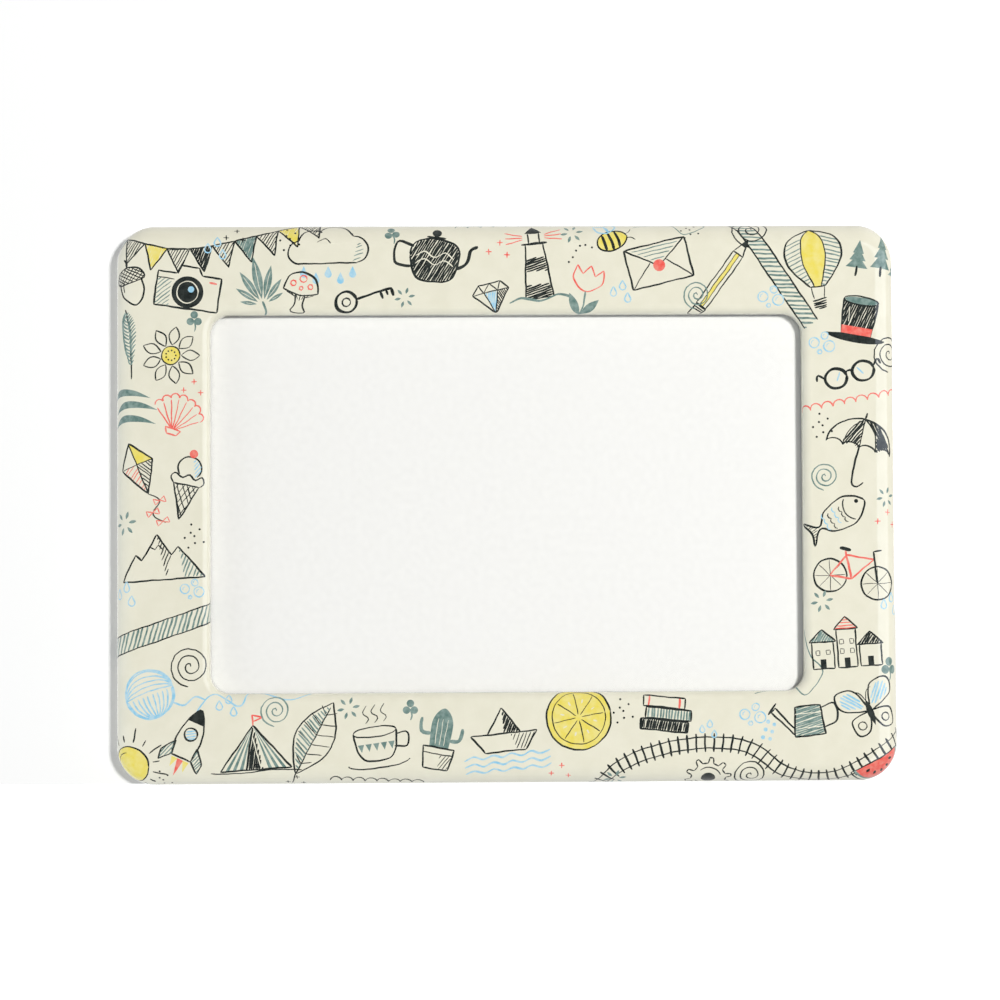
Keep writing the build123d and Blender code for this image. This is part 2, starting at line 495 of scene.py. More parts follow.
def pencil(pen):
    pen.fill(box(-7, -0.33, 4.2, 0.33), "yellow")
    pen.loop(box(-7, -1, 4.2, 1))
    for y in (-0.33, 0.33):
        pen.line([(-7, y), (4.2, y)], 0.24)
    pen.line([(4.2, 1), (7.2, 0), (4.2, -1)])
    pen.fill([(5.8, 0.46), (7.3, 0), (5.8, -0.46)])
    pen.hatch(box(-8.6, -1, -7, 1), 90, 0.4, 0.3)
    pen.line([(-7, 1), (-9.6, 1), (-9.6, -1), (-7, -1)])


def envelope(pen):
    pen.loop(box(-4.6, -3, 4.6, 3), 0.46)
    pen.line([(-4.6, 3), (0, -0.4), (4.6, 3)], 0.4)
    pen.hatch([(-4, 2.9), (4, 2.9), (0, 0)], 0, 0.55, 0.3, "teal")
    for side in (-1, 1):
        pen.line([(4.6 * side, -3), (1.2 * side, 0.4)], 0.3)
    pen.dot(0, -0.3, 0.9, "coral")


def key(pen):
    pen.ring(-3.6, 0, 2, 0.75)
    pen.ring(-3.6, 0, 0.8, 0.4)
    pen.line([(-1.6, 0), (5.4, 0)], 0.75)
    for x, drop in ((3.2, -1.5), (4.3, -1.1), (5.3, -1.6)):
        pen.line([(x, 0), (x, drop)], 0.7)


def air_balloon(pen):
    gore = spline([(0, 6), (-3.6, 4.4), (-4.2, 1), (-1.2, -3)])
    middle = [(x * 0.42, y) for x, y in gore]
    pen.fill(whole(middle), "yellow")
    pen.hatch(gore + middle[::-1], 20, 0.6, 0.36, "teal")
    pen.hatch(mirrored(gore) + sided(-1, middle), -20, 0.6, 0.36, "teal")
    pen.line(whole(gore), 0.44)
    for side in (1, -1):
        pen.line(sided(side, middle), 0.3)
    for x in (-1, 1):
        pen.line([(x, -3), (x * 0.8, -4.8)], 0.26)
    pen.shade(taper(-4.8, 1.1, -6.4, 0.9), 8)


def umbrella(pen):
    pen.line(oval(0, 0, 5, 4.4, 0, 180), 0.46)
    for n in range(4):
        pen.line(oval(-3.75 + 2.5 * n, 0, 1.25, 0.7, 0, 180))
    for x in (-2.5, 0, 2.5):
        pen.curve([(x, 0), (x * 0.75, 2.6), (0, 4.4)], 0.32)
    left = [(-2.5, 0.1), (-1.95, 2.6), (-0.3, 4.2), (-0.1, 2.6), (-0.1, 0.1), (-1.25, 0.72)]
    right = [(2.6, 0.1), (2.1, 2.6), (0.6, 4.3), (3.2, 3), (4.8, 0.2), (3.75, 0.72)]
    pen.shade(spline(left, True), 62)
    pen.shade(spline(right, True), -48)
    pen.line([(0, 4.4), (0, 5.4)], 0.46)
    pen.curve([(0, 0.6), (0, -4.6), (0.9, -5.6), (1.8, -4.7)], 0.5)


def houses(pen):
    for n, (x, wide, tall) in enumerate(((-4, 3.4, 4.2), (-0.2, 3, 6), (3.5, 3.4, 3.4))):
        left = x - wide / 2
        right = x + wide / 2
        pen.loop([(left, -4), (left, tall - 4), (right, tall - 4), (right, -4)])
        roof = [(left - 0.4, tall - 4), (x, tall - 2), (right + 0.4, tall - 4)]
        if n == 1:
            pen.hatch(roof, 0, 0.4, 0.34, "coral")
        else:
            pen.shade(roof, 55, "black" if n else "teal")
        pen.loop(roof)
        pen.fill([(x - 0.5, -4), (x - 0.5, -2.5), (x + 0.4, -2.5), (x + 0.4, -4)])
        for row in range(int(tall / 2) - 1):
            for side in (-0.8, 0.8):
                low = -1.8 + 1.5 * row
                pen.loop(box(x + side - 0.3, low, x + side + 0.3, low + 0.7), 0.22)


def pines(pen):
    for x, tall in ((-3, 7), (1, 9), (4.4, 5.6)):
        for n in range(3):
            top = tall - 4 - n * (tall - 2) / 4.2
            half = 0.9 + 0.45 * n
            foot = top - tall / 3.2
            pen.fill([(x, top), (x + half, foot), (x - half, foot)], "teal")
        pen.line([(x, foot + 0.3), (x, foot - 1.4)], 0.6)


def mountains(pen):
    ridge = [(-7, -3), (-4.4, 1.4), (-3.4, 0.4), (-0.6, 4.6), (1.6, 1), (2.8, 2.4), (7, -3)]
    pen.loop(ridge, 0.44)
    pen.hatch([(-0.6, 4.5), (1.5, 1), (0.5, -2.8), (-0.2, 1)], 65, 0.5, 0.32)
    pen.hatch([(2.8, 2.3), (6.6, -2.8), (3.4, -2.8), (3.2, 0)], 65, 0.6, 0.4, "teal")
    pen.line([(-1.9, 2.6), (-1.1, 2.1), (-0.5, 2.9), (0.2, 2)], 0.3)


def fish(pen):
    pen.curve([(5.4, 0), (2.4, 2.5), (-1.6, 2), (-3.8, 0.2), (-6.2, 2.3), (-5.5, 0), (-6.2, -2.3),
               (-3.8, -0.2), (-1.6, -2), (2.4, -2.5)], 0.46, closed=True)
    pen.line(oval(3.4, 0, 2, 2.4, 120, 240), 0.34)
    pen.dot(4.1, 0.6, 0.36)
    pen.hatch([(-4.2, 0), (-5.9, 2), (-5.3, 0), (-5.9, -2)], 0, 0.4)
    for column in range(4):
        for row in range(-1, 2):
            x = 1.2 - 1.1 * column
            y = 1.05 * row + 0.5 * (column % 2) - 0.2
            pen.line(arc(x, y, 0.55, 110, 250), 0.3, "blue" if column % 2 else "black")


def scallop(pen, ink="coral"):
    rim = []
    for n in range(7):
        angle = 150 - 20 * n
        rim += arc(*spoke(angle, 4.2, 0, -1), 0.8, angle + 60, angle - 90)
    pen.line(rim, ink=ink)
    for n in range(8):
        angle = 160 - 20 * n
        pen.line([(0.3 * cos(radians(angle)), -2.3), spoke(angle, 4, 0, -1)], 0.3, ink)
    pen.loop(taper(-2.2, 1.4, -3.2, 0.9), ink=ink)


def cog(pen):
    rim = []
    for n in range(10):
        for turn, radius in ((0.05, 3.2), (0.18, 4.2), (0.42, 4.2), (0.55, 3.2)):
            rim.append(spoke(360 * (n + turn) / 10, radius))
    pen.loop(rim, 0.42)
    pen.fill(oval(0, 0, 1.3))
    for start in (20, 200):
        pen.line(arc(0, 0, 2.4, start, start + 110), 0.28)


def ice_cream(pen):
    cone = [(-2.4, 0.4), (2.4, 0.4), (0, -6.2)]
    pen.loop(cone, 0.42)
    for angle in (62, -62):
        pen.hatch(cone, angle, 0.95)
    pen.line(arc(0, 3.6, 2.2, -40, 220), 0.42)
    pen.hatch(arc(0.4, 3.6, 1.8, -60, 90), 60, 0.5, 0.4, "blue")
    pen.curve([(-2.4, 0.4), (-3.2, 1.4), (-2.4, 2.4), (-1, 1.6), (0.2, 2.4), (1.4, 1.6), (2.6, 2.4),
               (3.2, 1.2), (2.4, 0.4)], 0.42)
    pen.dot(0.2, 6.4, 0.8, "coral")


def lemon(pen):
    pen.fill(oval(0, 0, 4), "yellow")
    pen.ring(0, 0, 4, 0.42)
    pen.ring(0, 0, 3.3, 0.26)
    for n in range(8):
        pen.line([spoke(45 * n, 0.4), spoke(45 * n, 3.1)], 0.26)
        pen.line([spoke(45 * n + 22, 1.8), spoke(45 * n + 22, 2.3)], 0.4, "cream")


def melon(pen):
    pen.fill(arc(0, 2, 4.4, 180, 360), "coral")
    pen.loop(arc(0, 2, 5.4, 180, 360), 0.44)
    pen.line(arc(0, 2, 4.6, 180, 360), 0.55, "teal")
    for n in range(5):
        angle = 205 + 32 * n
        pen.fill(blade(spoke(angle, 2.2, 0, 2), spoke(angle, 3.2, 0, 2), 0.3))


def gem(pen):
    top = [(-2.4, 2.6), (2.4, 2.6)]
    girdle = [(-4, 0.8), (-1.5, 0.8), (1.5, 0.8), (4, 0.8)]
    foot = (0, -4)
    pen.hatch([girdle[1], girdle[2], foot], 70, 0.45, 0.42, "blue")
    pen.hatch([girdle[2], girdle[3], foot], 110, 0.4)
    pen.loop([top[0], top[1], girdle[3], foot, girdle[0]], 0.42)
    pen.line(girdle, 0.3)
    for point in girdle[1:3]:
        pen.line([point, foot], 0.28)
    pen.line([girdle[0], top[0], girdle[1], (0, 2.6), girdle[2], top[1], girdle[3]], 0.28)


def butterfly(pen):
    for side in (1, -1):
        upper = spline(sided(side, [(0.2, 0.6), (1.6, 4), (4.6, 4.2), (4.4, 1.4), (0.3, -0.2)]))
        lower = spline(sided(side, [(0.3, -0.2), (3.4, -0.8), (3.2, -3.6), (1.2, -3.4), (0.2, -1)]))
        pen.hatch([(x * 0.72 + 0.6 * side, y * 0.72 + 0.6) for x, y in upper], 50 * side, 0.5, 0.45, "blue")
        for wing in (upper, lower):
            pen.line(wing, 0.42)
        pen.ring(2.1 * side, -2.1, 0.7, 0.34)
        pen.curve(sided(side, [(0, 1.6), (0.7, 3.2), (1.6, 3.6)]), 0.24)
    pen.fill(blade((0, 1.9), (0, -2.8), 0.12))


def feather(pen):
    pen.curve([(-7, -3.4), (-2, -1), (2.4, 1.2), (6, 4)])
    for n in range(15):
        t = n / 14
        x = -4.2 + 9.2 * t
        y = -2.1 + 5.2 * t
        reach = 2.3 * sin(pi * (0.12 + 0.8 * t))
        for barb in ([(0.1, 0.7), (0.9, 1.25)], [(0.7, 0.05), (1.3, -0.1)]):
            pen.curve([(x, y), *[(x + a * reach, y + b * reach) for a, b in barb]], ink="teal")


def acorn(pen):
    pen.curve(whole([(-2.4, 0.6), (-2.2, -2.2)], (0, -4.4)), 0.44)
    cap = spline([(-3, 0.5), (-2.4, 2.4), (0, 3.2), (2.4, 2.4), (3, 0.5), (0, 0.1)], True)
    pen.line(cap, 0.4)
    for angle in (40, -40):
        pen.hatch(cap, angle, 0.6)
    pen.curve([(0, 3.2), (0.3, 4.2), (-0.2, 4.8)], 0.6)
    pen.line(oval(-0.4, -1, 1.4, 2.2, 130, 190), 0.28)


def yarn(pen, ink="blue"):
    pen.ring(0, 0, 4.4, 0.5, ink)
    for n in range(5):
        pen.line(oval(0, 0, 4.3, 0.5 + 0.9 * n, 2, 178), 0.36, ink)
        pen.line(oval(0, 0, 0.5 + 0.9 * n, 4.3, -178, -2), 0.36, ink)
    pen.curve([(3.4, -2.8), (5.2, -4), (7.4, -3.2), (9, -4.4)], 0.45, ink)


def teapot(pen):
    upper = whole([(-3.6, 0.6), (-3, 2.6)], (0, 3.4))
    body = spline(upper + [(2.6, -2.4), (0, -3), (-2.6, -2.4)], True)
    pen.shade(body, 64)
    pen.line(body, 0.5)
    pen.curve([(3.3, -0.8), (4.8, 0.2), (5.2, 2.2), (6.2, 2.8)], 1)
    pen.curve([(-3.2, 2), (-5.6, 2.4), (-5.8, -0.6), (-3.3, -1)], 0.65)
    pen.line([(-1.4, 3.6), (1.4, 3.6)], 0.6)
    pen.dot(0, 4.4, 0.7)
    for y in (0.6, -0.5):
        pen.curve(whole([(-2.8, y), (-1.5, y + 0.8)], (0, y)), 0.3, "cream")


def camera_doodle(pen):
    top = whole([(5, 2.4), (2, 2.4), (1.4, 3.6)])
    pen.loop([(-5, -3), (5, -3), *top], 0.48)
    pen.fill(oval(0, -0.4, 2.5))
    pen.ring(0, -0.4, 1.7, 0.28, "cream")
    pen.dot(0.5, 0.1, 0.5, "blue")
    pen.hatch(box(-4.9, -2.9, -2.7, 1.4), 45, 0.5, 0.36, "teal")
    pen.line([(-5, 1.4), (-2.3, 1.4)], 0.3)
    pen.line([(3.2, 1.5), (4.4, 1.5)], 0.6, "coral")


def bicycle(pen):
    for x in (-3.8, 3.8):
        pen.ring(x, -1.6, 2.6, 0.46)
        for n in range(8):
            pen.line([(x, -1.6), spoke(45 * n + 12, 2.4, x, -1.6)], 0.18)
    pen.loop([(-3.8, -1.6), (-1.8, 2), (2.6, 2), (-0.4, -1.6)], 0.5, "coral")
    pen.line([(-0.4, -1.6), (-2.1, 2.8)], 0.5, "coral")
    pen.line([(3.8, -1.6), (2.3, 3.2), (3.6, 3.6)], 0.5)
    pen.line([(-3, 2.9), (-1.2, 2.9)], 0.8)


def watering_can(pen):
    can = [(-2.6, -3), (2.8, -3), (2.3, 2.2), (-2.1, 2.2)]
    pen.shade(can, 12, "teal")
    pen.loop(can, 0.46)
    for y in (-1.6, 0.9):
        pen.line([(-2.2, y), (2.4, y)], 0.26, "cream")
    pen.line([(-2.5, -1.6), (-5.6, 2.4), (-6.3, 1.7), (-2.6, -2.6)], 0.42)
    pen.line([(-6.9, 1.4), (-5.3, 3.2)], 0.6)
    pen.curve([(2.3, 1.6), (4.8, 2.2), (5, -0.8), (2.7, -1.8)], 0.5)
    for n in range(3):
        pen.dot(-7 - 0.6 * n, 0.2 - 1.3 * n, 0.36, "blue")
        pen.dot(-6 - 0.5 * n, -0.4 - 1.2 * n, 0.32, "blue")


def lighthouse(pen):
    def half(y):
        return 2.3 - 0.1 * (y + 6)

    def band(low, high):
        return taper(low, half(low), high, half(high))

    for low in (-6, -6 + 2.2 * 2):
        pen.shade(band(low, low + 2.2), 14)
    pen.loop(band(-6, 2.8), 0.42)
    pen.line([(-2.1, 2.9), (2.1, 2.9)], 0.6)
    pen.loop(box(-0.9, 3, 0.9, 4.8), 0.36)
    pen.fill([(-1.4, 4.8), (1.4, 4.8), (0, 6.4)])
    for side in (1, -1):
        for rise in (-0.8, 0.2, 1.2):
            pen.line([(1.8 * side, 4 + 0.3 * rise), (4.6 * side, 4 + rise)], 0.34, "coral")
    pen.curve(whole([(-5, -6.4), (-3, -5.7)], (0, -6.5)), 0.6, "teal")


def bee(pen):
    body = oval(0, 0, 3.2, 2.1)
    pen.fill(body, "yellow")
    for x in (-1.7, -0.3, 1.1):
        tall = 2 * sqrt(1 - (x / 3.2) ** 2)
        pen.line([(x, -tall), (x + 0.15, 0), (x, tall)], 0.62)
    pen.line(body, 0.42)
    for tip in ((-2.4, 4.8), (1.6, 5.2)):
        pen.line(blade((0, 1.9), tip, 0.3), 0.42, "blue")
    for y in (0.5, -0.5):
        pen.curve([(3, y), (4, y * 1.6), (4.6, y * 3)], 0.26)
    for n in range(6):
        pen.dot(-4.4 - 1.1 * n, 1.2 * sin(0.9 * n), 0.22)


def top_hat(pen):
    crown = spline([(-2.4, -2), (-2.7, 1.4), (-2.9, 3.8)]) + spline([(2.9, 3.8), (2.7, 1.4), (2.4, -2)])
    pen.shade(crown, 74)
    pen.loop(crown, 0.42)
    pen.fill(taper(-1.8, 2.45, -0.5, 2.55), "coral")
    pen.line(oval(0, 3.8, 2.9, 0.7), 0.4)
    pen.fill(oval(0, 3.8, 2.7, 0.55), "teal")
    pen.fill(oval(0, -2.1, 4.9, 1, 180, 360) + [(2.4, -1.8), (-2.4, -1.8)])
    pen.line([(-1.7, 2.6), (-1.5, 0.2)], 0.24, "cream")


def rocket(pen):
    hull = spline(whole([(-1.7, -3), (-2.1, 0.4), (-1.3, 3.6)], (0, 5.6)))
    pen.loop(hull, 0.46)
    pen.fill([p for p in hull if p[1] > 3])
    pen.ring(0, 1.2, 1.1, 0.46)
    pen.hatch(oval(0, 1.2, 0.9), 30, 0.4, 0.4, "blue")
    for side in (1, -1):
        fin = sided(side, [(1.9, -0.6), (3.7, -2.8), (3.5, -4.6), (1.7, -2.9)])
        pen.hatch(fin, 70, 0.45, 0.4, "teal")
        pen.loop(fin, 0.4)
    for x, drop in ((-1, -5), (0, -6.4), (1, -5.2)):
        pen.fill([(x - 0.55, -3.3), (x + 0.55, -3.3), (x * 1.2, drop)], "yellow" if x else "coral")


def books(pen):
    for y, left, right in ((-3.4, -4.6, 4.4), (-1.2, -3.8, 4.8), (1.0, -4.4, 3.4)):
        cover = box(left, y, right, y + 2)
        if y < -2:
            pen.shade(cover, 80)
            for x in (left + 1, right - 1):
                pen.line([(x, y + 0.2), (x, y + 1.8)], 0.3, "cream")
        elif y < 0:
            pen.hatch(cover, 90, 0.55, 0.42, "teal")
        else:
            for x in (left + 1, right - 1):
                pen.line([(x, y), (x, y + 2)], 0.5, "coral")
        pen.loop(cover, 0.42)


def tent(pen):
    left, top, right = (-6, -3.4), (0, 4), (6, -3.4)
    for n in range(3):
        a = 0.36 + 0.2 * n
        b = a + 0.1
        for foot in (left, right):
            pen.fill([top, (foot[0] * a, foot[1]), (foot[0] * b, foot[1])], "teal")
    pen.shade([top, (-1.9, -3.4), (1.2, -3.4)], 78)
    pen.line([(-0.2, 2), (0.9, -3.2)], 0.26, "cream")
    pen.loop([left, top, right], 0.46)
    pen.line([top, (0, 5.8), (1.8, 5.2), (0, 4.7)], 0.4, "coral")
    pen.curve([(-7.6, -3.6), (-3, -3.9), (3, -3.6), (7.6, -4)], 0.34)


def spectacles(pen):
    for side in (1, -1):
        pen.line(oval(2.9 * side, 0, 2.3, 2), 0.75)
        pen.line(sided(side, [(1.8, 1), (2.8, -0.6)]), 0.36, "blue")
        pen.curve(sided(side, [(5.2, 0.5), (6.4, 1.6), (6.8, 0.4)]), 0.55)
    pen.line(oval(0, 0.4, 0.8, 0.6, 20, 160), 0.65)


# Small fillers
def drops(pen):
    for x, y in ((-1.6, 0.4), (0.4, 1.8), (1.5, -0.9)):
        pen.loop([(x, y + 1.4), *arc(x, y, 0.7, 140, 400)], 0.34, "blue")


def bubbles(pen):
    for x, y, radius in ((-1.7, -0.4, 1.1), (0.6, 1.1, 0.8), (1.6, -1.1, 1.2), (-0.5, -2.3, 0.5)):
        pen.ring(x, y, radius, 0.34, "blue")
        pen.line(arc(x, y, radius * 0.5, 90, 200), 0.28, "blue")


def crosses(pen, ink="coral"):
    for x, y in ((-1.8, -0.6), (0.4, 1.2), (1.8, -1.2)):
        pen.line([(x - 0.6, y), (x + 0.6, y)], 0.34, ink)
        pen.line([(x, y - 0.6), (x, y + 0.6)], 0.34, ink)


def specks(pen):
    for n in range(8):
        pen.dot(*spoke(137.5 * n, 1.05 * sqrt(n)), 0.24)


def coil(pen, ink="black"):
    pen.line([spoke(24 * n, 0.16 * n ** 0.85) for n in range(42)], 0.34, ink)


def dashes(pen):
    for n in range(6):
        pen.fill(blade(spoke(60 * n + 12, 0.9), spoke(60 * n + 12, 2.5), 0.2), "teal")


def clover(pen):
    for n in range(3):
        pen.fill(oval(*spoke(90 + 120 * n, 0.95), 0.8), "teal")
    pen.curve([(0, -0.2), (0.3, -1.6), (0, -2.6)], 0.36, "teal")


# Long runs that lead along a bar
def pen_along(a, b):
    return Pen(*a, 1, degrees(atan2(b[1] - a[1], b[0] - a[0]))), dist(a, b)


def scallop_run(a, b, ink="coral"):
    pen, run = pen_along(a, b)
    count = round(run / 2.8)
    step = run / count
    for n in range(count):
        pen.line(oval((n + 0.5) * step, 0, step / 2, 1.4, 180, 0), 0.36, ink)


def rail_track(points):
    line = even_steps(spline(points), 2.1)
    sides = ([], [])
    pen = Pen(0, 0)
    for a, b in zip(line, line[1:]):
        gap = dist(a, b)
        across = ((a[1] - b[1]) / gap, (b[0] - a[0]) / gap)
        for side, edge in zip((1.3, -1.3), sides):
            edge.append((a[0] + side * across[0], a[1] + side * across[1]))
        pen.line([(a[0] + reach * across[0], a[1] + reach * across[1]) for reach in (2.2, -2.2)], 0.5)
    for edge in sides:
        pen.line(edge, 0.36)


def bunting(points):
    line = even_steps(spline(points), 5.6)
    pen = Pen(0, 0)
    pen.curve(points)
    inks = ("teal", "yellow", "black")
    for n, (a, b) in enumerate(zip(line, line[1:])):
        middle = ((a[0] + b[0]) / 2, (a[1] + b[1]) / 2)
        flag = [a, b, (middle[0] + (b[1] - a[1]) * 1.1, middle[1] - (b[0] - a[0]) * 1.1)]
        if n % 2:
            pen.hatch(flag, 60, 0.6, 0.28)
        else:
            pen.shade(flag, 70, inks[n // 2 % 3])
        pen.loop(flag)


def tape_band(a, b, half):
    pen, run = pen_along(a, b)
    pen.hatch(box(0, -half, run, half), 55, 1, 0.5, "teal")
    for y in (-half, half):
        pen.line([(0, y), (run, y)])


# Every doodle with its place and size, its turn in degrees and its ink where that differs
TOP_BAR = (
    (camera_doodle, -75, 50.5, 1.5, -8), (fern, -58.5, 52.5, 1.45, 12), (cloud, -42, 59.5, 1.6),
    (mushroom, -48.5, 50, 1.1, -10), (key, -33.5, 48.8, 1.25, 18), (teapot, -17, 57, 1.6, -6),
    (gem, -3.5, 49, 1.1, 14), (lighthouse, 7, 57, 1.45, 6), (tulip, 19, 51.5, 1.2, -14),
    (bee, 25, 62, 1.15, 20), (envelope, 36, 56.5, 1.6, 14), (pencil, 51.5, 54, 1.35, 54),
    (air_balloon, 73, 55.5, 1.55, 8), (pines, 87.5, 57, 1.45, -8), (coil, 58, 65, 1.3),
    (drops, 27, 49, 1.1), (bubbles, 62.5, 49, 1.1), (specks, -51, 62.5, 1.1),
    (clover, -27, 64, 1.1, 10), (crosses, -2, 60, 1.2), (dashes, 15.5, 64, 1.1),
    (specks, 43.5, 65, 1), (drops, -68.5, 59.5, 1.1), (dashes, -24, 48.5, 1),
    (coil, 45, 49, 0.9, 0, "teal"), (crosses, -64, 63.5, 1.1, 0, "black"),
)
RIGHT_BAR = (
    (top_hat, 83, 42, 1.45, -10), (spectacles, 81, 30, 1.15, 16), (umbrella, 83, 12.5, 1.6, -14),
    (fish, 78, -3.5, 1.35, 32), (bicycle, 82, -16, 1.5, -10), (houses, 80, -33, 1.5, 4),
    (butterfly, 85, -49, 1.4, 22), (specks, 74.5, 18, 1.1), (crosses, 89.5, -4, 1.2),
    (dashes, 74, -23.5, 1.1), (clover, 90, -39, 1.3), (bubbles, 74.5, 38, 1.1),
    (coil, 91, 35, 1.2), (drops, 90.5, -25, 1.1), (coil, 75, 6, 0.9, 0, "teal"),
    (dashes, 89.5, 1, 1),
)
BOTTOM_BAR = (
    (melon, 88, -63, 1.3, 28), (watering_can, 70.5, -51, 1.35, 6), (cog, 47, -65.5, 1.3),
    (books, 37, -49.5, 1.25, -6), (lemon, 16.5, -50.5, 1.9, 12), (paper_boat, -1, -55, 1.5, 6),
    (cactus, -16, -55, 1.5, -10), (teacup, -31, -56.5, 1.5, 8), (big_leaf, -45.5, -55, 1.35, 62),
    (tent, -59.5, -57.5, 1.4, 4), (rocket, -75, -55.5, 1.4, -24), (sun, -89, -61.5, 1.5),
    (dashes, -37.5, -48, 1.1), (drops, -66, -48, 1.1), (specks, 27, -49, 1.1),
    (crosses, 12, -63, 1.1), (clover, -23, -48, 1.1), (bubbles, 57.5, -49.5, 1.1),
    (coil, 57, -64.5, 1.1), (specks, -81, -65, 1), (crosses, -50, -65.5, 1, 0, "black"),
    (dashes, 25, -65.5, 1.1), (coil, -54.5, -48.5, 1, 0, "teal"), (drops, 47, -54, 0.9),
)
LEFT_BAR = (
    (yarn, -84, -44.5, 1.3, 20), (mountains, -81, -13.5, 1.4, 4), (kite, -86.5, 8, 1.35, 22),
    (ice_cream, -75.5, 4, 1.25, -12), (scallop, -77.5, 20.5, 1.35, -20), (brush_waves, -88.5, 22, 1.2, 12),
    (daisy, -79, 35, 1.45), (feather, -88.5, 38, 1.1, 66), (acorn, -88.5, 52, 1.2, 16),
    (clover, -73.5, 43.5, 1.1), (dashes, -90, -4.5, 1.2), (specks, -73.5, -7.5, 1.1),
    (coil, -74.5, -38, 1.3), (crosses, -74, 27.5, 1.1), (drops, -90, -22, 1.2),
    (bubbles, -74, -19.5, 1),
)


def draw_sheet():
    bunting([(-95, 65), (-78, 60), (-58, 63.5), (-44, 69)])
    rail_track([(19, -72), (26, -62), (41, -57), (56, -57.5), (66, -64), (78, -64.5), (97, -53)])
    tape_band((-97, -35), (-65, -24), 2.1)
    tape_band((50, 75), (72, 42), 1.9)
    scallop_run((69, 21), (96, 26))
    scallop_run((-42, -65.5), (-20, -67), "black")
    scallop_run((-12, 66), (6, 67.5), "teal")
    pen = Pen(0, 0)
    pen.curve([(-74, -50), (-69, -44.5), (-63, -47.5), (-60, -43), (-52, -46), (-46, -44)], 0.4, "blue")
    pen.curve([(30, 66), (38, 68), (42, 63.5), (47, 66.5), (44, 70)], 0.3, "teal")
    pen.curve([(58, -45), (66, -42.5), (70, -45.5), (74, -40), (71, -36), (69, -30)], 0.3, "teal")
    for doodle, x, z, size, *turn_and_ink in TOP_BAR + RIGHT_BAR + BOTTOM_BAR + LEFT_BAR:
        doodle(Pen(x, z, size, *turn_and_ink[:1]), *turn_and_ink[1:])


# Turning the flat print into the pressed shell
CORNER_STEPS = 14
SHOULDER_STEPS = 12
HEM_STEPS = 5
WINDOW_STEPS = 10
WELD = 1e-5
MATCH_DIGITS = 3


def grown(half, corner, run):
    """Rounded rectangle that lies a run outside another, as points anticlockwise from the right side."""
    wide = half[0] + run
    tall = half[1] + run
    radius = corner + run
    points = []
    for quarter, (sx, sz) in enumerate(((1, 1), (-1, 1), (-1, -1), (1, -1))):
        for n in range(CORNER_STEPS + 1):
            a = pi / 2 * (quarter + n / CORNER_STEPS)
            points.append((sx * (wide - radius) + radius * cos(a), sz * (tall - radius) + radius * sin(a)))
    return points


def sheet_edge():
    """Outer edge of the flat sheet, with the notch for the photo slot in its upper side."""
    edge = grown(FACE_HALF, FACE_CORNER, OUTER_RUN)
    floor = FACE_HALF[1] + SLOT_RUN
    top = FACE_HALF[1] + OUTER_RUN
    right = arc(SLOT_HALF - SLOT_CORNER, floor + SLOT_CORNER, SLOT_CORNER, 0, -90)
    notch = [(SLOT_HALF, top), *right, *mirrored(right), (-SLOT_HALF, top)]
    return edge[:CORNER_STEPS + 1] + notch + edge[CORNER_STEPS + 1:]


def bend_lines():
    """Lines along which the sheet needs points because it curves there."""
    runs = [OUTER_ARC * n / SHOULDER_STEPS for n in range(SHOULDER_STEPS + 1)]
    runs += [PRINT_RUN + HEM_ARC * n / HEM_STEPS for n in range(HEM_STEPS + 1)]
    lines = [grown(FACE_HALF, FACE_CORNER, run) for run in runs]
    inward = [WINDOW_ARC * n / WINDOW_STEPS for n in range(WINDOW_STEPS + 1)]
    return lines + [grown(EYE_HALF, EYE_CORNER, -run) for run in inward]


def triangles(polygons, edge, hole):
    """Cuts the sheet along all outlines. Gives points, and per triangle its corners and topmost ink."""
    points = []
    faces = []
    edges = []
    for polygon in [edge, hole, *[p for _, p in polygons]]:
        faces.append(list(range(len(points), len(points) + len(polygon))))
        points += [Vector(p) for p in polygon]
    for line in bend_lines():
        start = len(points)
        points += [Vector(p) for p in line]
        edges += [(start + n, start + (n + 1) % len(line)) for n in range(len(line))]
    inks = ["cream", None] + [ink for ink, _ in polygons]
    got = delaunay_2d_cdt(points, edges, faces, 0, WELD, True)
    cut_points, cut_faces, owners = got[0], got[2], got[5]
    kept = []
    for corners, owner in zip(cut_faces, owners):
        if 0 in owner and 1 not in owner:
            kept.append((list(corners), inks[max(owner)]))
    return [tuple(p) for p in cut_points], kept


def border(faces):
    """Directed edges that only one triangle has."""
    seen = {(a, b) for corners, _ in faces for a, b in zip(corners, corners[1:] + corners[:1])}
    return {a: b for a, b in seen if (b, a) not in seen}


def rings(following):
    """Closed rings of points from directed edges."""
    following = dict(following)
    found = []
    while following:
        ring = [min(following)]
        while ring[-1] in following:
            ring.append(following.pop(ring[-1]))
        found.append(ring[:-1])
    return found


